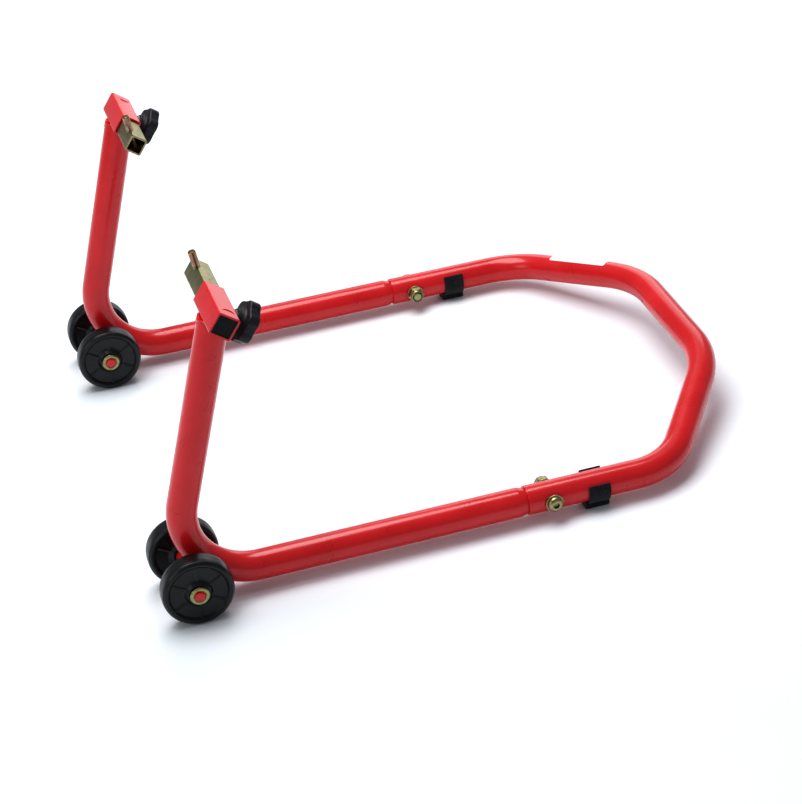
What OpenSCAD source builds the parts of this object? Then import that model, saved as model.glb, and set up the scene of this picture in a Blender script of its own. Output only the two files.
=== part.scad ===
// Rear paddock stand: bolted tube frame, four floor wheels, two clamped fork-pin adapters.
// +X runs from the wheels to the handle, +Z is up, the floor is z = 0, and the left side is -Y.

/* [Frame tubes] */
// Outer diameter of the round frame tube
tube_od = 32; // [30:0.5:34]
// Wall thickness of the round frame tube
tube_wall = 2; // [1.5:0.1:2.5]
// Half the distance between the two arms' centrelines
arm_half_width = 256; // [240:1:270]
// Height of the arms' centreline above the floor
arm_height = 23; // [22:0.5:25]
// Lean of the uprights, measured up from the arms
upright_angle = 73.6; // [70:0.1:78]
// Centreline radius of the bend at the heel
heel_radius = 73; // [70:1:78]

/* [Handle] */
// Distance from heel corner to the end of the arm's full diameter
seam_x = 385; // [370:1:395]
// Distance from heel corner to the handle's first bend corner
handle_bend_x = 550; // [540:1:570]
// Distance from heel corner to the handle's crossbar
handle_reach = 656; // [640:1:670]
// Half the distance between the crossbar's bend corners
handle_half_bar = 105; // [98:1:115]
// Rise of the crossbar above the arms
handle_rise = 28.5; // [15:0.5:45]
// Centreline radius of the bends at the legs
leg_bend_radius = 77; // [70:1:85]
// Centreline radius of the bends at the crossbar
bar_bend_radius = 134; // [110:1:145]

/* [Arm to handle joint] */
// Length of the taper from the arm to its neck
taper_length = 8; // [6:1:12]
// Length of the neck inside the handle
neck_length = 50; // [40:1:60]
// Distance of the joint bolt past the seam
bolt_offset = 27; // [22:1:32]
// Diameter of the joint bolt
bolt_d = 10; // [8:1:10]

/* [Wheels] */
// Wheel diameter
wheel_d = 75; // [74:0.5:76]
// Width of the wheel's tread
wheel_width = 22; // [20:1:24]
// Distance from an arm's centreline to a wheel's inner face
wheel_gap = 26; // [25:0.5:27]
// Distance from heel corner to the axle
axle_x = 24; // [23.5:0.5:25]
// Axle diameter
axle_d = 12; // [12:0.5:13]
// Radial clearance between an axle and a wheel bush
bush_clearance = 0.06; // [0.03:0.01:0.1]

/* [Sleeves and adapters] */
// Outside width of the square sleeve
sleeve_width = 24; // [23:0.5:25]
// Wall thickness of the square tubes
square_wall = 2; // [1.5:0.1:2.2]
// Length of the sleeve
sleeve_length = 72; // [66:1:80]
// Tilt of the sleeve's faces about its own axis
sleeve_tilt = 54; // [50:1:58]
// Distance from heel corner to the sleeve's axis, along the upright
sleeve_reach = 312.5; // [295:0.5:325]
// Offset of the sleeve's axis in front of the upright's axis
sleeve_forward = 2.2; // [0:0.2:3]
// Gap between adapter and sleeve on each face
adapter_gap = 0.3; // [0.2:0.05:0.4]
// Length of the adapter tube
adapter_length = 110; // [105:1:115]
// Distance the right adapter tube stands out of its sleeve at rest
adapter_stickout = 54; // [48:1:58]
// How much further the left adapter tube stands out
left_adapter_extra = 5.5; // [0:0.5:6]
// Distance from the adapter's inner end to its fork pin
pin_setback = 18; // [14:1:22]
// Diameter of the fork pin
pin_d = 8; // [7:0.5:9]
// Length of fork pin above the adapter's ridge
pin_height = 17; // [14:0.5:22]

/* [Clamp screws] */
// Diameter of the clamp stud
stud_d = 8; // [6:1:8]
// Diameter over the lobes of the knob
knob_d = 45; // [36:1:46]
// Thickness of the knob's lobed head
knob_head = 12; // [9:0.5:14]
// Number of lobes on the knob
knob_lobes = 6; // [5:1:7]

/* [Rubber feet] */
// Distance from heel corner to the middle of a foot
foot_x = 463; // [455:1:475]
// Length of a foot along the leg
foot_length = 24; // [20:1:30]
// Thickness of the rubber round the tube
foot_wall = 3; // [2:0.5:4]

/* [Hidden] */

$fn = 96;
eps = 0.01;
far = 400;                                        // longer than any cut needs
swell = 0.1;                                      // a bend's radius over a straight's
lap = 0.1;                                        // a straight's reach into each bend

tube_r = tube_od / 2;
bore_r = tube_r - tube_wall;
wheel_r = wheel_d / 2;
axle_r = axle_d / 2;
axle_z = wheel_r - arm_height;                    // axle above the arm's centreline
heel_turn = 180 - upright_angle;
heel_tangent = heel_radius * tan(heel_turn / 2);
front_x = handle_reach + tube_r;
origin_x = (front_x + axle_x - wheel_r) / 2;      // middle of the whole stand

neck_r = bore_r - 0.1;
neck_bore_r = neck_r - tube_wall;
taper_x = seam_x - taper_length;
bolt_x = seam_x + bolt_offset;
bolt_hole_d = bolt_d + 0.5;

sleeve_in = sleeve_width - 2 * square_wall;
adapter_width = sleeve_in - 2 * adapter_gap;
adapter_corner = 2;
adapter_end = sleeve_length / 2 + adapter_stickout;
pin_y = adapter_end - pin_setback;
pin_r = pin_d / 2;
shank_r = pin_r - 0.2;
ridge = adapter_width / sqrt(2) - adapter_corner * (sqrt(2) - 1);
plug_depth = 6;

stud_r = stud_d / 2;
nut_height = 5;
nut_flats = 13;
washer_gap = 0.5;
washer_height = 1.6;
knob_gap = 0.3;
hub_length = 6.6;
knob_r = knob_d / 2;
nut_z = -sleeve_width / 2;                        // levels along the clamp screw
washer_z = nut_z - nut_height - washer_gap;
knob_z = washer_z - washer_height - knob_gap;
head_z = knob_z - hub_length;

lug_y = 8;
lug_thickness = 4;
lug_r = 12;
spacer_r = 9;
bush_r = 8.5;
hub_proud = 1.5;                                  // hub beyond the rim, outer side
bush_in = wheel_gap - 0.6;
bush_out = wheel_gap + wheel_width + hub_proud + 0.2;
ring_in = bush_out + 0.3;
ring_out = ring_in + 2.6;
ring_r = 10.3;
axle_step = ring_in + 1.4;
axle_end = ring_out + 1.2;
stub_r = 5.2;

foot_outer_lip = 63;                              // clip's ends, from straight up
foot_inner_lip = 51;

function unit(v) = v / norm(v);

// ---- placing ---------------------------------------------------------------------------------

// From the heel corner of the left arm to the stand's own origin
module left() {
    translate([-origin_x, -arm_half_width, arm_height]) children();
}

module right() {
    mirror([0, 1, 0]) left() children();
}

// Outboard or inboard half of one arm's axle: children stand along +Z, away from the arm
module outboard() {
    translate([axle_x, 0, axle_z]) rotate([90, 0, 0]) children();
}

module inboard() {
    translate([axle_x, 0, axle_z]) rotate([-90, 0, 0]) children();
}

// Sleeve frame: Y along the sleeve, -X on the upright, -Z out of the clamp screw's face
module at_sleeve() {
    rotate([0, -upright_angle, 0]) translate([sleeve_reach, 0, -sleeve_forward])
        rotate([0, upright_angle - sleeve_tilt, 0]) children();
}

// Clamp screw frame: +Z runs out along the screw from the sleeve's axis
module along_screw() {
    at_sleeve() rotate([180, 0, 0]) children();
}

// ---- profiles and tubes ----------------------------------------------------------------------

module ring_profile(outer, inner) {
    difference() {
        circle(r = outer);
        circle(r = inner);
    }
}

module rounded_square(width, corner) {
    square([width, width - 2 * corner], center = true);
    square([width - 2 * corner, width], center = true);
    for (x = [-1, 1], y = [-1, 1])
        translate([x, y] * (width / 2 - corner)) circle(r = corner, $fn = 48);
}

module square_tube(width, corner, length) {
    rotate([90, 0, 0]) linear_extrude(length, center = true) difference() {
        rounded_square(width, corner);
        rounded_square(width - 2 * square_wall, corner / 2);
    }
}

module rod_along_x(from, to, radius) {
    translate([from, 0, 0]) rotate([0, 90, 0]) cylinder(r = radius, h = to - from);
}

// Straight round bar between two bends' ends
module straight(a, b, radius) {
    d = b - a;
    translate(a) rotate([0, acos(d.z / norm(d)), atan2(d.y, d.x)]) translate([0, 0, -lap])
        cylinder(r = radius, h = norm(d) + 2 * lap);
}

function corner_half(a, v, b) = acos(unit(a - v) * unit(b - v)) / 2;
function leave(a, v, b, r) = v + unit(b - v) * r / tan(corner_half(a, v, b));

// Bend of a round bar at corner v, between a and b
module bend(a, v, b, r, radius) {
    half = corner_half(a, v, b);
    centre = v + unit(unit(a - v) + unit(b - v)) * r / sin(half);
    ex = unit(leave(b, v, a, r) - centre);
    ez = unit(cross(ex, leave(a, v, b, r) - centre));
    ey = cross(ez, ex);
    multmatrix([
        [ex.x, ey.x, ez.x, centre.x],
        [ex.y, ey.y, ez.y, centre.y],
        [ex.z, ey.z, ez.z, centre.z]
    ]) rotate_extrude(angle = 180 - 2 * half, $fn = 180) translate([r, 0])
        circle(r = radius + swell);
}

// ---- handle ----------------------------------------------------------------------------------

leg_end = [seam_x, -arm_half_width, 0];
leg_corner = [handle_bend_x, -arm_half_width, 0];
bar_corner = [handle_reach, -handle_half_bar, handle_rise];
bar_middle = [handle_reach, 0, handle_rise];

// Side of the handle as a round bar, from the leg to the crossbar; extra lengthens the open end
module handle_side(radius, extra) {
    start = leg_end + [lap - extra, 0, 0];
    straight(start, leave(bar_corner, leg_corner, leg_end, leg_bend_radius), radius);
    bend(leg_end, leg_corner, bar_corner, leg_bend_radius, radius);
    straight(leave(leg_end, leg_corner, bar_corner, leg_bend_radius),
             leave(bar_middle, bar_corner, leg_corner, bar_bend_radius), radius);
    bend(leg_corner, bar_corner, bar_middle, bar_bend_radius, radius);
}

module whole_handle(radius, extra) {
    bar_end = leave(leg_corner, bar_corner, bar_middle, bar_bend_radius);
    translate([-origin_x, 0, arm_height]) {
        handle_side(radius, extra);
        mirror([0, 1, 0]) handle_side(radius, extra);
        straight(bar_end, [bar_end.x, -bar_end.y, bar_end.z], radius);
    }
}

module joint_bolt_hole() {
    translate([bolt_x, 0, 0]) rotate([90, 0, 0])
        cylinder(d = bolt_hole_d, h = 2 * tube_od, center = true);
}

module handle_tube() color("red") difference() {
    whole_handle(tube_r, 0);
    whole_handle(bore_r, 1);
    left() joint_bolt_hole();
    right() joint_bolt_hole();
}

// Plain blank label, wrapped over the top of the right slanted tube
label_start = 60;
label_length = 82.5;
label_wrap = 96;
label_lean = 24;
label_thickness = 0.25;

module handle_label() color("white") {
    run = bar_corner - leg_corner;
    translate([-origin_x, 0, arm_height]) mirror([0, 1, 0]) translate(leg_corner)
        rotate([0, acos(run.z / norm(run)), atan2(run.y, run.x)])
        rotate(180 + label_lean - label_wrap / 2) translate([0, 0, label_start])
        rotate_extrude(angle = label_wrap) translate([tube_r, 0])
            square([label_thickness, label_length]);
}

// ---- arms, axles and wheels --------------------------------------------------------------------

// Arm, heel bend and upright as one round bar
module arm_bar(radius) {
    rod_along_x(heel_tangent - lap, taper_x, radius);
    translate([heel_tangent, 0, heel_radius]) rotate([90, 0, 0]) rotate(-90 - heel_turn)
        rotate_extrude(angle = heel_turn, $fn = 180) translate([heel_radius, 0])
            circle(r = radius + swell);
    rotate([0, -upright_angle, 0])
        rod_along_x(heel_tangent - lap, sleeve_reach + tube_r, radius);
}

// Swaged end that fits inside the handle's leg
module arm_neck() {
    translate([taper_x, 0, 0]) rotate([0, 90, 0])
        cylinder(r1 = tube_r - swell, r2 = neck_r + swell, h = taper_length);
    rod_along_x(seam_x, seam_x + neck_length, neck_r);
}

// The arm is closed by a plate where the upright meets the sleeve
cap_thickness = 3;

// Everything beyond the sleeve's lower face, lowered by a depth
module beyond_sleeve(depth) {
    at_sleeve() translate([-sleeve_width / 2 - depth, -far / 2, -far / 2]) cube(far);
}

module arm() color("red") difference() {
    union() {
        arm_bar(tube_r);
        arm_neck();
    }
    beyond_sleeve(0);
    difference() {
        union() {
            arm_bar(bore_r);
            rod_along_x(taper_x - 1, seam_x + neck_length + 1, neck_bore_r);
        }
        beyond_sleeve(cap_thickness);
    }
    joint_bolt_hole();
}

// Two plates welded under the heel, which carry the axle
module axle_lugs() color("red") difference() {
    for (y = [-1, 1]) translate([0, y * lug_y, 0]) rotate([90, 0, 0])
        linear_extrude(lug_thickness, center = true) lug_profile();
    translate([heel_tangent, 0, heel_radius]) rotate([90, 0, 0])
        rotate_extrude($fn = 180) translate([heel_radius, 0]) circle(r = tube_r + swell);
}

module lug_profile() {
    reach = norm([axle_x - heel_tangent, axle_z - heel_radius]);
    difference() {
        union() {
            translate([axle_x, axle_z]) circle(r = lug_r);
            translate([axle_x, axle_z]) rotate(atan2(heel_radius - axle_z, heel_tangent - axle_x))
                translate([0, -lug_r]) square([reach - heel_radius, 2 * lug_r]);
        }
        translate([axle_x, axle_z]) circle(r = axle_r);
        translate([heel_tangent, heel_radius]) circle(r = heel_radius + tube_r - 6);
    }
}

module half_axle() {
    rotate_extrude() polygon([
        [0, 0], [axle_r, 0], [axle_r, axle_step], [stub_r, axle_step],
        [stub_r, axle_end - 0.8], [stub_r - 0.8, axle_end], [0, axle_end]
    ]);
}

module axle() color("firebrick") difference() {
    union() {
        outboard() half_axle();
        inboard() half_axle();
    }
    translate([heel_tangent, 0, heel_radius]) rotate([90, 0, 0])
        rotate_extrude($fn = 180) translate([heel_radius, 0]) circle(r = tube_r + swell);
}

// Collars that hold each wheel off its lug
module spacer() {
    from = lug_y + lug_thickness / 2;
    translate([0, 0, from]) linear_extrude(bush_in - 0.3 - from) ring_profile(spacer_r, axle_r);
}

module axle_spacers() color("firebrick") {
    outboard() spacer();
    inboard() spacer();
}

// Moulded wheel: rounded tread, dished web on both faces, tapered hub and low ribs
rib_count = 6;
web_thickness = 14;
rim_inner_r = 32;
hub_r = 13.5;
tread_corner = 2.5;

module wheel() color("#1c1c1e") {
    in = wheel_gap;
    out = wheel_gap + wheel_width;
    mid = (in + out) / 2;
    rotate_extrude($fn = 144) {
        polygon([
            [bush_r, in - 0.3], [hub_r, in - 0.3], [hub_r + 2, mid - web_thickness / 2],
            [rim_inner_r - 1, mid - web_thickness / 2], [rim_inner_r, in],
            [wheel_r - tread_corner, in], [wheel_r, in + tread_corner],
            [wheel_r, out - tread_corner], [wheel_r - tread_corner, out],
            [rim_inner_r, out], [rim_inner_r - 1, mid + web_thickness / 2],
            [hub_r + 2, mid + web_thickness / 2], [hub_r - 1.5, out + hub_proud],
            [bush_r, out + hub_proud]
        ]);
        for (z = [in, out - tread_corner * 2])
            translate([wheel_r - tread_corner, z + tread_corner]) circle(r = tread_corner, $fn = 48);
    }
    for (i = [0:rib_count - 1]) rotate(i * 360 / rib_count)
        translate([hub_r - 2, -1, in + 2])
            cube([rim_inner_r - hub_r + 2, 2, wheel_width - 4]);
}

module bush() color("silver") {
    translate([0, 0, bush_in]) linear_extrude(bush_out - bush_in)
        ring_profile(bush_r, axle_r + bush_clearance);
}

// Push-on retaining rings at both ends of one axle
module axle_ring() {
    rotate_extrude() polygon([
        [axle_r, ring_in], [ring_r, ring_in], [ring_r, ring_out - 0.8],
        [ring_r - 0.8, ring_out], [axle_r + 0.6, ring_out], [axle_r, ring_out - 0.6]
    ]);
}

module axle_rings() color("khaki") {
    outboard() axle_ring();
    inboard() axle_ring();
}

// ---- sleeves, adapters and clamp screws --------------------------------------------------------

module sleeve() color("red") difference() {
    at_sleeve() square_tube(sleeve_width, 2.4, sleeve_length);
    along_screw() cylinder(r = stud_r + 0.2, h = sleeve_width);
}

module sleeve_plug() color("#202022") at_sleeve() translate([0, -sleeve_length / 2, 0])
    rotate([-90, 0, 0]) difference() {
        linear_extrude(plug_depth) rounded_square(sleeve_in, 1.2);
        translate([0, 0, 2.5]) linear_extrude(plug_depth)
            rounded_square(sleeve_in - 4, 1);
    }

// The left adapter is drawn further out of its sleeve than the right one
module pulled_out() {
    translate([0, left_adapter_extra, 0]) children();
}

module pin_axis() {
    at_sleeve() translate([0, pin_y, 0]) rotate([0, 45, 0]) children();
}

module adapter_tube() color("darkkhaki") difference() {
    at_sleeve() translate([0, adapter_end - adapter_length / 2, 0])
        square_tube(adapter_width, adapter_corner, adapter_length);
    pin_axis() cylinder(r = shank_r, h = 2 * adapter_width, center = true);
}

// Fork pin: slim shank through the tube, full diameter above its ridge
module fork_pin() color("rosybrown") pin_axis() rotate_extrude() polygon([
    [0, -ridge], [shank_r, -ridge], [shank_r, ridge], [pin_r, ridge],
    [pin_r, ridge + pin_height - 0.8], [pin_r - 0.8, ridge + pin_height],
    [0, ridge + pin_height]
]);

module clamp_nut() color("red") along_screw() translate([0, 0, -nut_z]) difference() {
    cylinder(d = nut_flats / cos(30), h = nut_height, $fn = 6);
    translate([0, 0, -1]) cylinder(r = stud_r + 0.06, h = nut_height + 2);
}

module clamp_washer() color("silver") along_screw() translate([0, 0, -washer_z])
    linear_extrude(washer_height) ring_profile(stud_r + 4, stud_r + 0.08);

module clamp_stud() color("darkgray") along_screw()
    translate([0, 0, sleeve_in / 2]) cylinder(r = stud_r, h = -head_z - sleeve_in / 2);

module knob_outline() {
    lobe_r = 8;
    lobe_depth = 2.4;
    for (i = [0:knob_lobes - 1]) rotate(i * 360 / knob_lobes)
        translate([knob_r - lobe_r, 0]) circle(r = lobe_r, $fn = 48);
    circle(r = knob_r - lobe_depth);
}

module knob() color("#202022") along_screw() difference() {
    union() {
        translate([0, 0, -knob_z]) cylinder(r1 = 10, r2 = 14, h = hub_length);
        translate([0, 0, -head_z]) linear_extrude(knob_head) knob_outline();
    }
    translate([0, 0, -knob_z - 1]) cylinder(r = stud_r, h = hub_length + 1);
    translate([0, 0, knob_head - head_z - 2]) cylinder(r1 = 9, r2 = 10, h = 2 + eps);
}

// ---- joint bolts, feet -------------------------------------------------------------------------

joint_washer = 2;
joint_washer_r = 9.8;
head_r = 8.4;
head_height = 5.5;
joint_nut_flats = 17;
joint_nut_height = 10;
washer_face = tube_r + joint_washer;
bolt_tail = washer_face + joint_nut_height + 1.5;

// +Z runs from the tube's axis to the bolt's head, on the outer side
module along_bolt() {
    translate([bolt_x, 0, 0]) rotate([90, 0, 0]) children();
}

module joint_bolt() color("khaki") along_bolt() difference() {
    rotate_extrude() polygon([
        [0, -bolt_tail], [bolt_d / 2 - 1, -bolt_tail], [bolt_d / 2, -bolt_tail + 1],
        [bolt_d / 2, washer_face], [head_r, washer_face], [head_r, washer_face + 2.2],
        [head_r - 1, washer_face + 4], [head_r - 3, washer_face + head_height],
        [0, washer_face + head_height]
    ]);
    translate([0, 0, washer_face + head_height - 3.5])
        cylinder(d = 6 / cos(30), h = 4, $fn = 6);
}

module joint_washers() color("khaki") along_bolt() for (z = [-washer_face, tube_r])
    translate([0, 0, z]) linear_extrude(joint_washer)
        ring_profile(joint_washer_r, bolt_d / 2 + 0.25);

module joint_nut() color("khaki") along_bolt()
    translate([0, 0, -washer_face - joint_nut_height]) difference() {
        union() {
            translate([0, 0, 2.5])
                cylinder(d = joint_nut_flats / cos(30), h = joint_nut_height - 2.5, $fn = 6);
            cylinder(d = joint_nut_flats - 1.5, h = 3);
        }
        translate([0, 0, -1]) cylinder(d = bolt_d, h = joint_nut_height + 2);
    }

pad_half_width = 11;
pad_top = 13;
pad_toe = 2;

// Rubber foot: clip round the leg, open at the top, on a flat pad
module foot() color("#1c1c1e") translate([foot_x - foot_length / 2, 0, 0]) {
    rotate([0, 90, 0]) rotate(foot_outer_lip - 180)
        rotate_extrude(angle = 360 - foot_outer_lip - foot_inner_lip) translate([tube_r, 0])
            square([foot_wall, foot_length]);
    translate([-pad_toe, 0, 0]) difference() {
        rotate([90, 0, 90]) linear_extrude(foot_length + pad_toe) polygon([
            [2 - pad_half_width, -arm_height], [pad_half_width - 2, -arm_height],
            [pad_half_width, 2 - arm_height], [pad_half_width, -pad_top],
            [-pad_half_width, -pad_top], [-pad_half_width, 2 - arm_height]
        ]);
        rotate([0, 90, 0]) cylinder(r = tube_r, h = far, center = true);
    }
}

// ---- nodes ---------------------------------------------------------------------------------------

handle_tube();
handle_label();
left() outboard() wheel();  // left_outer_wheel
left() inboard() wheel();  // left_inner_wheel
right() inboard() wheel();  // right_inner_wheel
right() outboard() wheel();  // right_outer_wheel
left() outboard() bush();  // left_outer_bush
left() inboard() bush();  // left_inner_bush
right() inboard() bush();  // right_inner_bush
right() outboard() bush();  // right_outer_bush
left() arm();  // left_arm
right() arm();  // right_arm
left() axle_lugs();  // left_axle_lugs
right() axle_lugs();  // right_axle_lugs
left() axle();  // left_axle
right() axle();  // right_axle
left() axle_spacers();  // left_axle_spacers
right() axle_spacers();  // right_axle_spacers
left() axle_rings();  // left_axle_rings
right() axle_rings();  // right_axle_rings
left() sleeve();  // left_sleeve
right() sleeve();  // right_sleeve
left() sleeve_plug();  // left_sleeve_plug
right() sleeve_plug();  // right_sleeve_plug
left() pulled_out() adapter_tube();  // left_adapter_tube
right() adapter_tube();  // right_adapter_tube
left() pulled_out() fork_pin();  // left_fork_pin
right() fork_pin();  // right_fork_pin
left() clamp_nut();  // left_clamp_nut
right() clamp_nut();  // right_clamp_nut
left() clamp_washer();  // left_clamp_washer
right() clamp_washer();  // right_clamp_washer
left() clamp_stud();  // left_clamp_stud
right() clamp_stud();  // right_clamp_stud
left() knob();  // left_knob
right() knob();  // right_knob
left() joint_bolt();  // left_joint_bolt
right() joint_bolt();  // right_joint_bolt
left() joint_washers();  // left_joint_washers
right() joint_washers();  // right_joint_washers
left() joint_nut();  // left_joint_nut
right() joint_nut();  // right_joint_nut
left() foot();  // left_foot
right() foot();  // right_foot
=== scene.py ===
"""Looks of the paddock stand: smooth tubes, welds, moulded wheels and knobs, plated steel, and the studio."""
import math

import bmesh
import bpy
from mathutils import Matrix, Vector, noise

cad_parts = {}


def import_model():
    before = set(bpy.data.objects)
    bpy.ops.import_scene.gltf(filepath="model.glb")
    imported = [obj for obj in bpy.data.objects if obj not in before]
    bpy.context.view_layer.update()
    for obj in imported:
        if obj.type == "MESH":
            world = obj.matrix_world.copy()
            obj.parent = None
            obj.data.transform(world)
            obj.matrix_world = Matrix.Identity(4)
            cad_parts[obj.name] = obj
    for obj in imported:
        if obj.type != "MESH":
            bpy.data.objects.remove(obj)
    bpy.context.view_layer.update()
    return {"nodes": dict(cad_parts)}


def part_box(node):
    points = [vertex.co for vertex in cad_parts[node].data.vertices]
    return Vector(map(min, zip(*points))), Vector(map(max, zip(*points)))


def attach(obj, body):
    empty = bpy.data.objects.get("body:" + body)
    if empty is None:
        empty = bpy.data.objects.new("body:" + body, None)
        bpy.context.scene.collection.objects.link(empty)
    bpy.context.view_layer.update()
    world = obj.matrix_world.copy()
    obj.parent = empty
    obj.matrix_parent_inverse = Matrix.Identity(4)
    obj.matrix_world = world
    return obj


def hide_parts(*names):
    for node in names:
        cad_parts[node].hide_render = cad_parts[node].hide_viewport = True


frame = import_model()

MM = 0.001
X, Y, Z = Vector((1, 0, 0)), Vector((0, 1, 0)), Vector((0, 0, 1))

# ---- driving dimensions, in millimetres ----------------------------------------------------------
TUBE_R = 16
WALL = 2
CAP = 3                            # plate that closes the upright's top
HEEL_BEND_R = 73
UPRIGHT_ANGLE = 73.6
AXLE_AHEAD = 24                    # wheel axle, past the heel corner
LEG_CORNER_AHEAD = 550             # handle's first corner, past the heel corner
BAR_AHEAD = 656                    # crossbar, past the heel corner
BAR_HALF = 105
LEG_BEND_R = 77
BAR_BEND_R = 134
TAPER = 8
NECK = 50
SLEEVE_W = 24
SLEEVE_L = 72
SLEEVE_CORNER = 2.4
SLEEVE_TILT = 54
ADAPTER_W = 19.4
ADAPTER_CORNER = 2
ADAPTER_L = 110
PIN_R = 4
WHEEL_R = 37.5
WHEEL_W = 22
BUSH_R = 8.5
STUD_R = 4
KNOB_R = 22.5
KNOB_LOBES = 6
BOLT_R = 5
THREAD_PITCH = 1.5
KNOB_LEVELS = (19.4, 26.0, 38.0)   # hub, head and top of the knob along the clamp screw
UPRIGHT_FALL = 2.2                 # how fast the upright's cut end falls away behind the sleeve

# ---- fineness of the meshes ----------------------------------------------------------------------
TUBE_COUNT = 64                    # points round a bent tube
TURNED_COUNT = 72                  # round a turned part
STACK_COUNT = 96                   # round a nut or a bolt's head
SHANK_COUNT = 48                   # round a bolt's shank and thread
KNOB_COUNT = 144
WELD_COUNT = 10
CORNER_STEPS = 6                   # along a square tube's rounded corner
ON_AXIS = 0.001                    # a radius this small is a point on the axis
BEND_STEP = 2.0                    # degrees from ring to ring in a tube's bend


# ---- places, taken from the frame ----------------------------------------------------------------
def middle(node):
    low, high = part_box(node)
    return (low + high) / 2 / MM


def low(node):
    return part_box(node)[0] / MM


def high(node):
    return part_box(node)[1] / MM


ARM_Y = middle("left_axle").y
ARM_Z = middle("left_joint_bolt").z
HEEL = Vector((middle("left_axle").x - AXLE_AHEAD, ARM_Y, ARM_Z))
SEAM_X = low("handle_tube").x
BAR_Z = high("handle_tube").z - TUBE_R
SLEEVE_AT = middle("left_sleeve")
AXLE_AT = middle("left_axle")
BOLT_AT = Vector((middle("left_joint_bolt").x, ARM_Y, ARM_Z))
SLEEVE_X = Vector((math.cos(math.radians(SLEEVE_TILT)), 0, math.sin(math.radians(SLEEVE_TILT))))
SLEEVE_Z = SLEEVE_X.cross(Y)       # the clamp screw leaves the sleeve along -SLEEVE_Z
SCREW = -SLEEVE_Z
RIDGE = (SLEEVE_X + SLEEVE_Z).normalized()


# ---- mesh helpers: everything is built in millimetres on the left side ---------------------------
def ring(bm, at, across, up, outline):
    return [bm.verts.new(at + across * u + up * v) for u, v in outline]


def skin(bm, rings, closed=False):
    """Quads between neighbouring rings of equal counts."""
    pairs = list(zip(rings, rings[1:]))
    if closed:
        pairs.append((rings[-1], rings[0]))
    for a, b in pairs:
        n = len(a)
        for i in range(n):
            bm.faces.new((a[i], a[(i + 1) % n], b[(i + 1) % n], b[i]))


def fan(bm, loop, at):
    """Closes a ring with triangles that meet at a point."""
    tip = bm.verts.new(at)
    for i in range(len(loop)):
        bm.faces.new((loop[i], loop[(i + 1) % len(loop)], tip))


def circle(radius, count):
    turns = [2 * math.pi * i / count for i in range(count)]
    return [(radius * math.cos(t), radius * math.sin(t)) for t in turns]


def rounded_square(width, corner):
    inner = width / 2 - corner
    points = []
    for quarter in range(4):
        cx = inner if quarter in (0, 3) else -inner
        cy = inner if quarter in (0, 1) else -inner
        for i in range(CORNER_STEPS + 1):
            t = math.pi / 2 * (quarter + i / CORNER_STEPS)
            points.append((cx + corner * math.cos(t), cy + corner * math.sin(t)))
    return points


def fillet(profile, radius, steps=4):
    """The closed profile with every corner rounded; a point may carry its own radius."""
    count, out = len(profile), []
    for i, point in enumerate(profile):
        a, v, b = (Vector(profile[(i + k) % count][:2]) for k in (-1, 0, 1))
        r = point[2] if len(point) > 2 else radius
        first, last = (a - v).normalized(), (b - v).normalized()
        half = math.acos(max(-1, min(1, first.dot(last)))) / 2
        r = min(r, 0.45 * min((a - v).length, (b - v).length) * math.tan(half))
        if r < 0.01 or half > 1.55:
            out.append((v.x, v.y))
            continue
        centre = v + (first + last).normalized() * r / math.sin(half)
        start = v + first * r / math.tan(half) - centre
        sweep = (math.pi - 2 * half) * (1 if first.cross(last) < 0 else -1)
        for k in range(steps + 1):
            t = sweep * k / steps
            out.append((centre.x + start.x * math.cos(t) - start.y * math.sin(t),
                        centre.y + start.x * math.sin(t) + start.y * math.cos(t)))
    return out


def basis(axis):
    """Two directions square to an axis, which turn the right way round it."""
    across = (Y if abs(axis.y) < 0.9 else X).cross(axis).normalized()
    return across, axis.cross(across)


def lathe(bm, profile, at, axis):
    """Turns a closed (radius, height) profile about an axis; points at radius 0 become tips."""
    across, up = basis(axis)
    tips = [h for r, h in profile if r <= ON_AXIS]
    rings = [ring(bm, at + axis * h, across, up, circle(r, TURNED_COUNT))
             for r, h in profile if r > ON_AXIS]
    skin(bm, rings, closed=not tips)
    if tips:
        fan(bm, rings[0][::-1], at + axis * profile[0][1])
        fan(bm, rings[-1], at + axis * profile[-1][1])


def level_rings(bm, levels, at, axis, count):
    """Stack of rings round an axis: each level is (height, radius as a function of the turn)."""
    across, up = basis(axis)
    turns = [2 * math.pi * i / count for i in range(count)]
    rings = []
    for height, radius in levels:
        outline = [(radius(t) * math.cos(t), radius(t) * math.sin(t)) for t in turns]
        rings.append(ring(bm, at + axis * height, across, up, outline))
    return rings


def polar(bm, levels, at, axis, count=STACK_COUNT):
    """Solid stack of levels, closed at both ends."""
    rings = level_rings(bm, levels, at, axis, count)
    skin(bm, rings)
    fan(bm, rings[0][::-1], at + axis * levels[0][0])
    fan(bm, rings[-1], at + axis * levels[-1][0])


def open_stack(bm, levels, at, axis):
    """Like polar, but the last ring joins the first, which leaves a hole along the axis."""
    skin(bm, level_rings(bm, levels, at, axis, STACK_COUNT), closed=True)


def hexagon(flats):
    """Radius of a hexagon of that width over its flats, at a turn."""
    return lambda t: flats / 2 / math.cos((t + math.pi / 6) % (math.pi / 3) - math.pi / 6)


def smaller(*radii):
    return lambda t: min(r(t) if callable(r) else r for r in radii)


def constant(radius):
    return lambda t: radius


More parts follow.
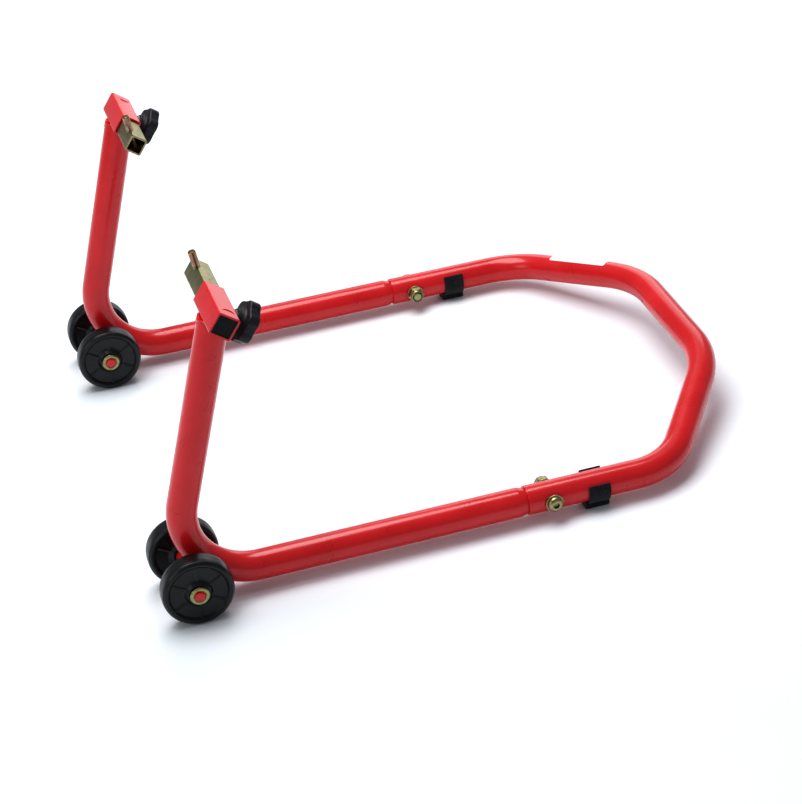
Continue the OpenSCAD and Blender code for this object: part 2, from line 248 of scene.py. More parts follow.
def route(corners, bends):
    """Points along straight runs joined by arcs, each with its direction."""
    line = []
    count = len(corners)
    for i, v in enumerate(corners):
        if i in (0, count - 1):
            other = corners[1] if i == 0 else corners[-2]
            line.append((v, (other - v).normalized() * (1 if i == 0 else -1)))
            continue
        first, last = (corners[i - 1] - v).normalized(), (corners[i + 1] - v).normalized()
        half = first.angle(last) / 2
        r = bends[i - 1]
        centre = v + (first + last).normalized() * r / math.sin(half)
        arm = v + first * r / math.tan(half) - centre
        turn = math.pi - 2 * half
        axis = first.cross(last).normalized() * -1
        pieces = max(2, round(math.degrees(turn) / BEND_STEP))
        for k in range(pieces + 1):
            spin = Matrix.Rotation(turn * k / pieces, 3, axis)
            line.append((centre + spin @ arm, spin @ -first))
    return line


def sweep_rings(bm, line, radii):
    """Rings along a line, turned as little as possible from one to the next."""
    across, up = basis(line[0][1])
    before, rings = line[0][1], []
    for (at, along), radius in zip(line, radii):
        turn = before.rotation_difference(along)
        across, up, before = turn @ across, turn @ up, along
        rings.append(ring(bm, at, across, up, circle(radius, TUBE_COUNT)))
    return rings


def tube(bm, line, radii, wall):
    """Round tube with a wall and softened ends; radii holds the outer radius at each point."""
    edge = 0.35
    at, along = line[0]
    outer = [(at, along), (at + along * edge, along), *line[1:-1]]
    sizes = [radii[0] - edge, radii[0], *radii[1:-1]]
    at, along = line[-1]
    outer += [(at - along * edge, along), (at, along)]
    sizes += [radii[-1], radii[-1] - edge]
    rings = sweep_rings(bm, outer, sizes)
    bore = sweep_rings(bm, line, [r - wall for r in radii])
    skin(bm, rings + bore[::-1], closed=True)


def close_ends(bm, rings):
    """Closes both ends of a short run of weld."""
    for loop, tip in ((rings[0][::-1], rings[0]), (rings[-1], rings[-1])):
        fan(bm, loop, tip[0].co.lerp(tip[WELD_COUNT // 2].co, 0.5))


def bead(bm, loop, size, seed):
    """Weld bead along a closed loop of points, with the ripples and lumps of hand welding."""
    rings, total = [], len(loop)
    for i in range(total):
        ahead = (loop[(i + 1) % total] - loop[i - 1]).normalized()
        across, up = basis(ahead)
        ripple = 1 + 0.10 * math.sin(i * 2 * math.pi / 5)
        lump = 1 + 0.16 * noise.noise(loop[i] * 0.22 + Vector((seed, 0, 0)))
        rings.append(ring(bm, loop[i], across, up, circle(size * ripple * lump, WELD_COUNT)))
    for a, b in zip(rings, rings[1:] + rings[:1]):
        start = min(range(WELD_COUNT), key=lambda k: (b[k].co - a[0].co).length)
        turned = b[start:] + b[:start]
        for k in range(WELD_COUNT):
            after = (k + 1) % WELD_COUNT
            bm.faces.new((a[k], a[after], turned[after], turned[k]))


def thread(bm, at, axis, start, end, radius, pitch):
    """Bolt end with a true helical thread between two heights."""
    across, up = basis(axis)
    depth = 0.55 * pitch
    rings = []
    levels = round((end - start) / pitch * 8)
    for i in range(levels + 1):
        h = start + (end - start) * i / levels
        close = min(1, (end - h) / pitch)
        outline = []
        for k in range(SHANK_COUNT):
            t = 2 * math.pi * k / SHANK_COUNT
            phase = (h / pitch - k / SHANK_COUNT) % 1
            r = radius - depth * abs(2 * phase - 1) * 0.9 - 0.5 * (1 - close)
            outline.append((r * math.cos(t), r * math.sin(t)))
        rings.append(ring(bm, at + axis * h, across, up, outline))
    skin(bm, rings)
    fan(bm, rings[0][::-1], at + axis * start)
    fan(bm, rings[-1], at + axis * end)


def piece(name, build, body, material, nodes, mirror=False, sharp=35):
    """Builds one piece, mirrors it for the right side, and hangs it on its body."""
    bm = bmesh.new()
    build(bm)
    if mirror:
        bmesh.ops.scale(bm, vec=(1, -1, 1), verts=bm.verts)
    bmesh.ops.scale(bm, vec=(MM, MM, MM), verts=bm.verts)
    bmesh.ops.recalc_face_normals(bm, faces=bm.faces)
    mesh = bpy.data.meshes.new(name)
    bm.to_mesh(mesh)
    bm.free()
    mesh.materials.append(material)
    mesh.shade_smooth()
    mesh.set_sharp_from_angle(angle=math.radians(sharp))
    obj = bpy.data.objects.new(name, mesh)
    bpy.context.scene.collection.objects.link(obj)
    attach(obj, body)
    if nodes:
        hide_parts(*nodes)
    return obj


# ---- materials -----------------------------------------------------------------------------------
class Surface:
    """A Principled material whose patterns are added one call at a time."""

    def __init__(self, name, **sockets):
        self.material = bpy.data.materials.new(name)
        self.material.use_nodes = True
        self.nodes = self.material.node_tree.nodes
        self.links = self.material.node_tree.links
        self.shader = self.nodes["Principled BSDF"]
        for key, value in sockets.items():
            self.shader.inputs[key.replace("_", " ")].default_value = value
        self.place = self.nodes.new("ShaderNodeTexCoord").outputs["Object"]
        self.normal = None

    def stretched(self, scale):
        mapping = self.nodes.new("ShaderNodeMapping")
        mapping.inputs["Scale"].default_value = scale
        self.links.new(self.place, mapping.inputs["Vector"])
        return mapping.outputs["Vector"]

    def grain(self, size_mm, detail=3.0, rough=0.55, stretch=None, distort=0.0):
        """Noise whose features are about size_mm across."""
        node = self.nodes.new("ShaderNodeTexNoise")
        node.inputs["Scale"].default_value = 1 / (size_mm * MM)
        node.inputs["Detail"].default_value = detail
        node.inputs["Roughness"].default_value = rough
        node.inputs["Distortion"].default_value = distort
        self.links.new(self.stretched(stretch) if stretch else self.place, node.inputs["Vector"])
        return node.outputs["Fac"]

    def cells(self, size_mm):
        node = self.nodes.new("ShaderNodeTexVoronoi")
        node.inputs["Scale"].default_value = 1 / (size_mm * MM)
        self.links.new(self.place, node.inputs["Vector"])
        return node.outputs["Distance"]

    def ramp(self, fac, stops):
        node = self.nodes.new("ShaderNodeValToRGB")
        bar = node.color_ramp
        while len(bar.elements) < len(stops):
            bar.elements.new(0.5)
        for element, (position, colour) in zip(bar.elements, stops):
            element.position = position
            element.color = (*colour, 1)
        self.links.new(fac, node.inputs["Fac"])
        return node.outputs["Color"]

    def mix(self, fac, first, second, kind="MIX"):
        node = self.nodes.new("ShaderNodeMix")
        node.data_type = "RGBA"
        node.blend_type = kind
        for socket, value in ((0, fac), (6, first), (7, second)):
            if isinstance(value, (int, float)):
                node.inputs[socket].default_value = value
            elif isinstance(value, tuple):
                node.inputs[socket].default_value = (*value, 1)
            else:
                self.links.new(value, node.inputs[socket])
        return node.outputs[2]

    def colour(self, socket):
        self.links.new(socket, self.shader.inputs["Base Color"])

    def rough(self, fac, low_value, high_value):
        node = self.nodes.new("ShaderNodeMapRange")
        node.inputs["To Min"].default_value = low_value
        node.inputs["To Max"].default_value = high_value
        node.inputs["From Min"].default_value = 0.3
        node.inputs["From Max"].default_value = 0.7
        self.links.new(fac, node.inputs["Value"])
        self.links.new(node.outputs["Result"], self.shader.inputs["Roughness"])

    def bump(self, fac, height_mm, strength=1.0):
        node = self.nodes.new("ShaderNodeBump")
        node.inputs["Strength"].default_value = strength
        node.inputs["Distance"].default_value = height_mm * MM
        self.links.new(fac, node.inputs["Height"])
        if self.normal:
            self.links.new(self.normal, node.inputs["Normal"])
        self.normal = node.outputs["Normal"]
        self.links.new(self.normal, self.shader.inputs["Normal"])


def red_paint():
    """Gloss powder coat: deep red with slow changes of tone and gloss."""
    s = Surface("red_paint", Coat_Weight=0.5, Coat_Roughness=0.12, Specular_IOR_Level=0.4)
    s.colour(s.ramp(s.grain(60, 3), [(0.35, (0.58, 0.014, 0.018)), (0.65, (0.66, 0.020, 0.026))]))
    s.rough(s.grain(30, 3), 0.26, 0.34)
    return s.material


def zinc(name, stops, roughness, scratch):
    """Passivated zinc over drawn steel: iridescent patches, drawing lines and small stains."""
    s = Surface(name, Metallic=1.0)
    patches = s.grain(9, 4, 0.6, distort=1.2)
    base = s.ramp(patches, stops)
    stain = s.ramp(s.grain(2.2, 5, 0.65), [(0.55, (1, 1, 1)), (0.78, (0.55, 0.50, 0.45))])
    s.colour(s.mix(0.6, base, stain, "MULTIPLY"))
    lines = s.grain(1.0, 4, 0.6, stretch=(3.0, 0.06, 3.0))
    s.rough(lines, *roughness)
    s.bump(lines, scratch)
    s.bump(s.grain(0.35, 2), 0.004)
    return s.material


def yellow_zinc():
    stops = [(0.30, (0.22, 0.19, 0.09)), (0.43, (0.37, 0.32, 0.16)), (0.52, (0.31, 0.33, 0.17)),
             (0.60, (0.44, 0.35, 0.23)), (0.72, (0.45, 0.30, 0.25))]
    return zinc("yellow_zinc", stops, (0.24, 0.42), 0.012)


def bronzed_steel():
    stops = [(0.32, (0.20, 0.12, 0.08)), (0.50, (0.38, 0.25, 0.17)), (0.68, (0.46, 0.34, 0.24))]
    return zinc("bronzed_steel", stops, (0.20, 0.34), 0.008)


def plain_steel(name="plain_steel"):
    stops = [(0.30, (0.42, 0.42, 0.43)), (0.55, (0.56, 0.56, 0.57)), (0.75, (0.50, 0.51, 0.55))]
    return zinc(name, stops, (0.22, 0.36), 0.010)


def black_nylon():
    """Glossy moulded nylon, slightly uneven, with a fine grain and a little dust."""
    s = Surface("black_nylon", Specular_IOR_Level=0.5)
    dust = s.ramp(s.grain(4, 6, 0.7), [(0.58, (0.010, 0.011, 0.013)), (0.85, (0.045, 0.046, 0.050))])
    s.colour(dust)
    s.rough(s.grain(8, 5, 0.6), 0.26, 0.42)
    s.bump(s.grain(1.4, 3), 0.02)
    s.bump(s.cells(0.6), 0.006)
    return s.material


def black_plastic():
    """Moulded knob plastic with spark-eroded grain."""
    s = Surface("black_plastic", Specular_IOR_Level=0.45)
    s.colour(s.ramp(s.grain(3, 4), [(0.35, (0.012, 0.012, 0.016)), (0.75, (0.030, 0.030, 0.038))]))
    s.rough(s.grain(2, 4), 0.38, 0.52)
    s.bump(s.cells(0.45), 0.03)
    return s.material


def plug_plastic():
    s = Surface("plug_plastic", Specular_IOR_Level=0.35)
    s.colour(s.ramp(s.grain(4, 4), [(0.35, (0.006, 0.007, 0.007)), (0.75, (0.016, 0.018, 0.018))]))
    s.rough(s.grain(3, 4), 0.50, 0.66)
    s.bump(s.cells(0.5), 0.02)
    return s.material


def black_rubber():
    """Matt rubber with a fine dry grain, chalky where it has been handled."""
    s = Surface("black_rubber", Specular_IOR_Level=0.3, Sheen_Weight=0.15, Sheen_Roughness=0.5)
    s.colour(s.ramp(s.grain(5, 6, 0.7), [(0.40, (0.010, 0.010, 0.013)), (0.80, (0.035, 0.036, 0.042))]))
    s.rough(s.grain(3, 4), 0.66, 0.84)
    s.bump(s.grain(0.7, 4), 0.05)
    return s.material


def label_white():
    """Coated paper label: fine fibre tone and a slightly uneven surface."""
    s = Surface("label_white", Coat_Weight=0.3, Coat_Roughness=0.25)
    s.colour(s.ramp(s.grain(6, 5, 0.6), [(0.30, (0.80, 0.80, 0.79)), (0.70, (0.90, 0.90, 0.90))]))
    s.rough(s.grain(4, 3), 0.34, 0.48)
    s.bump(s.grain(3.5, 2), 0.03)
    return s.material


RED = red_paint()
ZINC = yellow_zinc()
BRONZE = bronzed_steel()
STEEL = plain_steel()
BUSH = plain_steel("bush_steel")
NYLON = black_nylon()
PLASTIC = black_plastic()
PLUG = plug_plastic()
RUBBER = black_rubber()
LABEL = label_white()


# ---- handle and arms -----------------------------------------------------------------------------
def handle_corners():
    """Corners of the handle's centreline, from the left leg's open end to the right one's."""
    left_side = [Vector((SEAM_X, ARM_Y, ARM_Z)), Vector((HEEL.x + LEG_CORNER_AHEAD, ARM_Y, ARM_Z)),
                 Vector((HEEL.x + BAR_AHEAD, -BAR_HALF, BAR_Z))]
    return left_side + [Vector((v.x, -v.y, v.z)) for v in reversed(left_side)]


def build_handle(bm):
    line = route(handle_corners(), [LEG_BEND_R, BAR_BEND_R, BAR_BEND_R, LEG_BEND_R])
    tube(bm, line, [TUBE_R] * len(line), WALL)


def upright_direction():
    a = math.radians(UPRIGHT_ANGLE)
    return Vector((math.cos(a), 0, math.sin(a)))


def sleeve_face():
    """A point on the sleeve's lower face, where the upright is welded."""
    return SLEEVE_AT - SLEEVE_X * (SLEEVE_W / 2)


def on_sleeve_face(point, depth=0):
    """The point moved along the upright until it lies that far under the sleeve's lower face."""
    along = upright_direction()
    reach = (sleeve_face() - point).dot(SLEEVE_X) - depth
    return point + along * (reach / along.dot(SLEEVE_X))


def upright_top(point, depth):
    """The point on the upright's cut end, which falls away where it stands out behind the sleeve."""
    behind = max(0, (point - SLEEVE_AT).dot(SLEEVE_Z) - SLEEVE_W / 2 + 0.5)
    return on_sleeve_face(point, depth + UPRIGHT_FALL * behind)


def build_arm(bm):
    """Neck, taper, arm, heel bend and upright, whose top is cut to the sleeve's face."""
    neck_r = TUBE_R - WALL - 0.1
    neck_end = Vector((SEAM_X + NECK, ARM_Y, ARM_Z))
    top = HEEL + upright_direction() * (sleeve_face() - HEEL).dot(SLEEVE_X) \
        / upright_direction().dot(SLEEVE_X)
    line = route([neck_end, HEEL, top], [HEEL_BEND_R])
    shape = [(NECK, neck_r), (0.6, neck_r), (-0.8, neck_r + 0.25), (-TAPER * 0.5, TUBE_R - 1.1),
             (-TAPER + 0.8, TUBE_R - 0.12), (-TAPER - 1.2, TUBE_R)]
    start = [(Vector((SEAM_X + ahead, ARM_Y, ARM_Z)), -X) for ahead, _ in shape]
    line = start + line[1:]
    radii = [r for _, r in shape] + [TUBE_R] * (len(line) - len(shape))
    outer = sweep_rings(bm, line, radii)
    bore = sweep_rings(bm, line, [r - WALL for r in radii])
    for last, depth in ((outer[-1], 0), (bore[-1], CAP)):
        for vert in last:
            vert.co = upright_top(vert.co, depth)
    skin(bm, outer[::-1] + bore)
    fan(bm, outer[-1], on_sleeve_face(HEEL))
    fan(bm, bore[-1][::-1], on_sleeve_face(HEEL, CAP))


def build_sleeve_weld(bm):
    """Fillet weld round the top of the upright, against the sleeve."""
    along = upright_direction()
    across, up = basis(along)
    loop = []
    steps = 90
    for i in range(steps):
        t = 2 * math.pi * i / steps
        out = across * math.cos(t) + up * math.sin(t)
        loop.append(upright_top(on_sleeve_face(HEEL + out * (TUBE_R - 0.3)), 0.3))
    bead(bm, loop, 0.7, 3.0)


def build_sleeve_tack(bm):
    """Crescent of weld on the sleeve's upper face, near its plugged end."""
    centre = SLEEVE_AT + SLEEVE_X * (SLEEVE_W / 2 - 0.3) - Y * (SLEEVE_L / 2 - 12)
    side = -SLEEVE_Z
    wide, long, thick = 7.5, 6, 1.15
    rings, steps = [], 26
    for i in range(steps + 1):
        t = math.radians(20 + 150 * i / steps)
        at = centre + side * (wide * math.cos(t) + 1) + Y * (long * math.sin(t) - 3.4)
        ahead = (side * (-wide * math.sin(t)) + Y * (long * math.cos(t))).normalized()
        size = thick * math.sin(math.pi * (i + 0.6) / (steps + 1.2)) ** 0.6
        rings.append(ring(bm, at, ahead.cross(SLEEVE_X), SLEEVE_X, circle(size, WELD_COUNT)))
    skin(bm, rings)
    close_ends(bm, rings)


def square_tube(bm, at, width, corner, length):
    """Square tube along Y with rounded corners and softened cut ends."""
    edge = 0.3
    half = length / 2
    rings = []
    for y, inset in ((-half, edge), (-half + edge, 0), (half - edge, 0), (half, edge)):
        outline = rounded_square(width - 2 * inset, corner)
        rings.append(ring(bm, at + Y * y, SLEEVE_Z, SLEEVE_X, outline))
    bore = width - 2 * WALL
    for y, inset in ((half, -0.15), (half - 0.2, 0), (-half + 0.2, 0), (-half, -0.15)):
        outline = rounded_square(bore - 2 * inset, corner / 2)
        rings.append(ring(bm, at + Y * y, SLEEVE_Z, SLEEVE_X, outline))
    skin(bm, rings, closed=True)


def build_sleeve(bm):
    square_tube(bm, SLEEVE_AT, SLEEVE_W, SLEEVE_CORNER, SLEEVE_L)


def build_plug(bm):
    """Moulded end plug: flat face a little inside the rim, and a hollow back."""
    outer = SLEEVE_AT.y - SLEEVE_L / 2
    at = Vector((SLEEVE_AT.x, 0, SLEEVE_AT.z))
    width = SLEEVE_W - 2 * WALL
    levels = [(0.5, width - 3.2, 0.9), (0.1, width - 2.2, 1.0), (0.15, width - 0.5, 1.1),
              (0.45, width, 1.2), (6, width, 1.2), (6, width - 4, 0.8), (2.5, width - 4, 0.8)]
    rings = [ring(bm, at + Y * (outer + y), SLEEVE_Z, SLEEVE_X, rounded_square(w, c))
             for y, w, c in levels]
    skin(bm, rings)
    fan(bm, rings[0][::-1], at + Y * (outer + 0.5))
    fan(bm, rings[-1], at + Y * (outer + 2.5))


def on_left(node):
    """Middle of a node, mirrored to the left side, where every piece is built."""
    at = middle(node)
    return Vector((at.x, -abs(at.y), at.z))


def build_adapter(bm, at):
    square_tube(bm, at, ADAPTER_W, ADAPTER_CORNER, ADAPTER_L)


def ridge_height():
    return ADAPTER_W / math.sqrt(2) - ADAPTER_CORNER * (math.sqrt(2) - 1)


def build_pin(bm, y):
    """Fork pin: through shank, collar edge at the ridge, and a chamfered top."""
    at = Vector((SLEEVE_AT.x, y, SLEEVE_AT.z))
    ridge = ridge_height()
    top = ridge + 17
    profile = fillet([(0, -ridge, 0), (PIN_R - 0.2, -ridge, 0.3), (PIN_R - 0.2, ridge, 0.1),
                      (PIN_R, ridge, 0.1), (PIN_R, top - 0.8, 0.3), (PIN_R - 0.8, top, 0.3),
                      (0, top, 0)], 0)
    lathe(bm, profile, at, RIDGE)


# ---- clamp screws --------------------------------------------------------------------------------
def build_clamp_nut(bm):
    """Weld nut: hexagon with turned corners and a tapped hole."""
    base, height, flats = SLEEVE_W / 2, 5, 13
    corner = flats / 2 / math.cos(math.pi / 6)
    six = hexagon(flats)
    levels = [(0, constant(STUD_R + 0.06)), (0, smaller(six, corner)),
              (height - 0.9, smaller(six, corner)), (height, smaller(six, corner - 0.9)),
              (height, constant(STUD_R + 0.7)), (height - 0.6, constant(STUD_R + 0.06))]
    open_stack(bm, [(base + h, r) for h, r in levels], SLEEVE_AT, SCREW)


def build_nut_weld(bm):
    """Weld round the foot of the clamp's nut."""
    across, up = basis(SCREW)
    loop = []
    steps = 70
    for i in range(steps):
        t = 2 * math.pi * i / steps
        out = across * math.cos(t) + up * math.sin(t)
        loop.append(SLEEVE_AT + SCREW * (SLEEVE_W / 2 + 0.3) + out * 7.4)
    bead(bm, loop, 1.0, 9.0)


def lobed(radius):
    """Outline of the knob's head: round lobes with hollows between them."""
    valley, lobe = radius - 2.4, 8

    def at(t):
        turn = (t + math.pi / KNOB_LOBES) % (2 * math.pi / KNOB_LOBES) - math.pi / KNOB_LOBES
        reach = radius - lobe
        across = reach * math.sin(abs(turn))
        bump = reach * math.cos(turn) + math.sqrt(lobe * lobe - across * across) \
            if across < lobe else 0
        gap = valley - bump
        soft = 0.9                 # blends the lobes into the hollows
        return min(radius, max(valley, bump) + soft * math.exp(-abs(gap) / soft) * 0.35)
    return at


def build_knob(bm):
    """Knob: stepped conical hub, six-lobed head with rounded edges, and a dished cap."""
    hub, head, top = KNOB_LEVELS
    star = lobed(KNOB_R)
    soft = 2.0

    def inset(amount):
        return lambda t: star(t) - amount

    levels = [(hub, constant(STUD_R)), (hub, constant(9.2)), (hub + 0.4, constant(9.9)),
              (hub + 2.2, constant(10.4)), (hub + 2.6, constant(11.4)), (hub + 4.6, constant(12.2)),
              (hub + 5.0, constant(13.0)), (head - 0.3, constant(13.8)),
              (head, smaller(inset(soft), 14.4)), (head, inset(soft))]
    for i in range(1, 6):
        t = math.pi / 2 * i / 5
        levels.append((head + soft * (1 - math.cos(t)), inset(soft * (1 - math.sin(t)))))
    for i in range(6):
        t = math.pi / 2 * i / 5
        levels.append((top - soft * (1 - math.sin(t)), inset(soft * (1 - math.cos(t)))))
    levels += [(top, constant(10.4)), (top - 0.4, constant(10.0)), (top - 1.6, constant(9.4)),
               (top - 1.9, constant(8.6)), (top - 1.5, constant(4)), (top - 1.4, constant(1))]
    polar(bm, levels, SLEEVE_AT, SCREW, KNOB_COUNT)


# ---- wheels and axles ----------------------------------------------------------------------------
RIBS = 6
RIB_OFFSETS = (-1.4, -0.95, -0.55, 0.55, 0.95, 1.4)
RIB_STEPS = 14


def wheel_turns(radius):
    """Turns of one ring's points, bunched beside the ribs so that these keep straight sides."""
    turns = []
    for i in range(RIBS):
        middle_turn = 2 * math.pi * i / RIBS
        offsets = [math.asin(o / radius) for o in RIB_OFFSETS]
        turns += [(middle_turn + o, abs(d)) for o, d in zip(offsets, RIB_OFFSETS)]
        start, end = offsets[-1], 2 * math.pi / RIBS + offsets[0]
        for k in range(1, RIB_STEPS):
            turns.append((middle_turn + start + (end - start) * k / RIB_STEPS, 9))
    return turns


def rib_lift(offset):
    """Share of the rib's height at a distance from its middle."""
    return 1 if offset < 0.7 else 0.45 if offset < 1.1 else 0


def build_wheel(bm, at, outward):
    """Moulded wheel: crowned tread, dished web with low ribs, and a tapered hub on both faces."""
    half, web, rim = WHEEL_W / 2, 7.8, 31
    tread = 3.0
    face = [(BUSH_R, half + 1.5, 0.3), (11.6, half + 1.5, 0.8), (14.8, web + 0.6, 1.0),
            (17.0, web, 1.2), (rim - 1.6, web, 1.2), (rim, half - 0.8, 0.7),
            (rim + 1.2, half, 0.5), (WHEEL_R - tread, half, 1.6), (WHEEL_R - 0.5, half - 2.6, 2.2),
            (WHEEL_R, half - 7, 6)]
    back = [(r, -h if h < half + 1 else -half - 0.3, c) for r, h, c in face]
    profile = fillet(face + back[::-1], 0, 5)
    across, up = basis(outward)
    rings = []
    for r, h in profile:
        outline = []
        ribbed = 12.5 < r < rim and abs(h) < half - 0.5
        lifts = []
        for t, offset in wheel_turns(max(r, 12.5)):
            outline.append((r * math.cos(t), r * math.sin(t)))
            lifts.append(max(0, (half - 2.4 - abs(h)) * rib_lift(offset)) if ribbed else 0)
        loop = ring(bm, at + outward * h, across, up, outline)
        for vert, lift in zip(loop, lifts):
            vert.co += outward * math.copysign(lift, h)
        rings.append(loop)
    skin(bm, rings, closed=True)


def build_axle(bm):
    """Axle with a stepped, painted stub at each end, whose rim is worn round."""
    step, end = 51.4, 53.8
    side = [(6, step, 0.2), (5.2, step + 0.05, 0.1), (5.2, end - 0.9, 0.5), (4.3, end, 0.5), (0, end, 0)]
    profile = [(r, -h, c) for r, h, c in reversed(side)] + side
    lathe(bm, fillet(profile, 0.2), Vector((AXLE_AT.x, ARM_Y, AXLE_AT.z)), -Y)


def build_axle_rings(bm):
    """Push-on rings: flat collar with a raised lip round the axle's stub."""
    for sign in (1, -1):
        profile = [(6.05, 50.0), (10.3, 50.0, 0.4), (10.3, 51.6, 0.7), (9.2, 52.6, 0.5),
                   (7.0, 52.6, 0.3), (6.3, 52.0, 0.2), (6.05, 52.0)]
        lathe(bm, fillet(profile, 0.1), Vector((AXLE_AT.x, ARM_Y, AXLE_AT.z)), -Y * sign)


def build_lug_welds(bm):
    """Short weld runs between the lugs and the heel's tube."""
    centre = HEEL + Vector((HEEL_BEND_R * math.tan(math.radians(180 - UPRIGHT_ANGLE) / 2), 0, HEEL_BEND_R))
    toward = Vector((AXLE_AT.x - centre.x, 0, AXLE_AT.z - centre.z)).normalized()
    for y in (-8, 8):
        for face in (-2.3, 2.3):
            beads = []
            steps = 18
            for i in range(steps + 1):
                t = math.radians(-8.5 + 17 * i / steps)
                out = Matrix.Rotation(t, 3, "Y") @ toward
                drop = math.sqrt(TUBE_R ** 2 - (y + face) ** 2)
                at = centre + out * (HEEL_BEND_R + drop) + Y * (y + face)
                size = 1.1 * math.sin(math.pi * (i + 0.8) / (steps + 1.6)) ** 0.4
                size *= 1 + 0.12 * math.sin(i * 2.4)
                beads.append(ring(bm, at, Y, out, circle(size, WELD_COUNT)))
            skin(bm, beads)
            close_ends(bm, beads)


# ---- joint bolts ---------------------------------------------------------------------------------
WASHER_FACE = TUBE_R + 2
NUT_HEIGHT = 10
BOLT_TAIL = WASHER_FACE + NUT_HEIGHT + 1.5


def build_joint_bolt(bm):
    """Button-head bolt with a hexagon socket, and a threaded end."""
    head, rise, flats = 8.4, 5.5, 6
    top = WASHER_FACE + rise
    levels = [(WASHER_FACE, constant(BOLT_R)), (WASHER_FACE, constant(head - 0.3)),
              (WASHER_FACE + 0.3, constant(head)), (WASHER_FACE + 1.4, constant(head))]
    for i in range(1, 9):
        t = math.pi / 2 * i / 9
        levels.append((WASHER_FACE + 1.4 + (rise - 1.4) * math.sin(t), constant(4.3 + 4.1 * math.cos(t))))
    levels += [(top, constant(4.1)), (top - 0.1, hexagon(flats + 0.5)), (top - 0.5, hexagon(flats)),
               (top - 3.4, hexagon(flats)), (top - 3.5, hexagon(flats - 0.6))]
    polar(bm, levels, BOLT_AT, -Y)
    polar(bm, [(-WASHER_FACE, constant(BOLT_R - 0.02)), (WASHER_FACE, constant(BOLT_R - 0.02))],
          BOLT_AT, -Y, SHANK_COUNT)
    thread(bm, BOLT_AT, Y, WASHER_FACE, BOLT_TAIL, BOLT_R, THREAD_PITCH)


def build_joint_washers(bm):
    for sign in (1, -1):
        profile = [(BOLT_R + 0.25, TUBE_R), (9.8, TUBE_R, 0.5), (9.8, WASHER_FACE, 0.5),
                   (BOLT_R + 0.25, WASHER_FACE, 0.2)]
        lathe(bm, fillet(profile, 0.2), BOLT_AT, -Y * sign)


def build_joint_nut(bm):
    """Lock nut: chamfered hexagon and a rolled collar that holds the nylon ring."""
    six = hexagon(17)
    corner = 17 / 2 / math.cos(math.pi / 6)
    levels = [(0, constant(5.2)), (0, constant(8.0)), (0.7, smaller(six, corner)),
              (6.6, smaller(six, corner)), (7.3, smaller(six, corner - 1.3)), (7.6, constant(7.9)),
              (8.6, constant(7.8)), (9.5, constant(7.3)), (NUT_HEIGHT, constant(6.6)),
              (NUT_HEIGHT, constant(6.3)), (9.0, constant(6.2)), (9.0, constant(5.2))]
    open_stack(bm, [(WASHER_FACE + h, r) for h, r in levels], BOLT_AT, Y)


def build_nut_insert(bm):
    """Nylon ring inside the lock nut's collar."""
    start, end = WASHER_FACE + 9.0, WASHER_FACE + NUT_HEIGHT - 0.15
    profile = [(5.05, start), (6.15, start), (6.15, end, 0.2), (5.05, end, 0.3)]
    lathe(bm, fillet(profile, 0.05), BOLT_AT, Y)


# ---- feet and label ------------------------------------------------------------------------------
def foot_outline():
    """Section of the rubber clip: open at the top, flat underneath."""
    outer, inner, pad, floor = TUBE_R + 3, TUBE_R + 0.02, 11, ARM_Z
    lip, inner_lip = math.radians(63), math.radians(51)
    meet = math.asin(pad / outer)
    steps = 14
    points = []
    for i in range(steps + 1):
        t = inner_lip + (math.pi - meet - inner_lip) * i / steps
        points.append((outer * math.sin(t), outer * math.cos(t)))
    points += [(pad, 2 - floor), (pad - 2, -floor), (2 - pad, -floor), (-pad, 2 - floor)]
    for i in range(steps + 1):
        t = math.pi + meet + (math.pi - meet - lip) * i / steps
        points.append((outer * math.sin(t), outer * math.cos(t)))
    for i in range(2 * steps + 1):
        t = 2 * math.pi - lip - (2 * math.pi - lip - inner_lip) * i / (2 * steps)
        points.append((inner * math.sin(t), inner * math.cos(t)))
    return points


def extrude_x(bm, outline, start, end):
    """Closed outline extruded along X, with its two faces filled."""
    at = Vector((0, ARM_Y, ARM_Z))
    rings = [ring(bm, at + X * x, Y, Z, outline) for x in (start, end)]
    skin(bm, rings)
    bm.faces.new(rings[0][::-1])
    bm.faces.new(rings[1])


def build_foot(bm):
    start, end, toe = low("left_foot").x, high("left_foot").x, 2
    extrude_x(bm, foot_outline(), start + toe, end)
    pad, drop = 11, 13
    lip = [(pad, -drop), (pad, 2 - ARM_Z), (pad - 2, -ARM_Z), (2 - pad, -ARM_Z), (-pad, 2 - ARM_Z),
           (-pad, -drop)]
    reach = math.acos(drop / TUBE_R)
    for i in range(13):
        t = math.pi + reach - 2 * reach * i / 12
        lip.append(((TUBE_R + 0.02) * math.sin(t), (TUBE_R + 0.02) * math.cos(t)))
    extrude_x(bm, lip, start, start + toe + 0.01)


def rim(grid):
    """Border of a grid of vertices, in order."""
    return grid[0] + [c[-1] for c in grid[1:]] + grid[-1][-2::-1] + [c[0] for c in grid[-2:0:-1]]


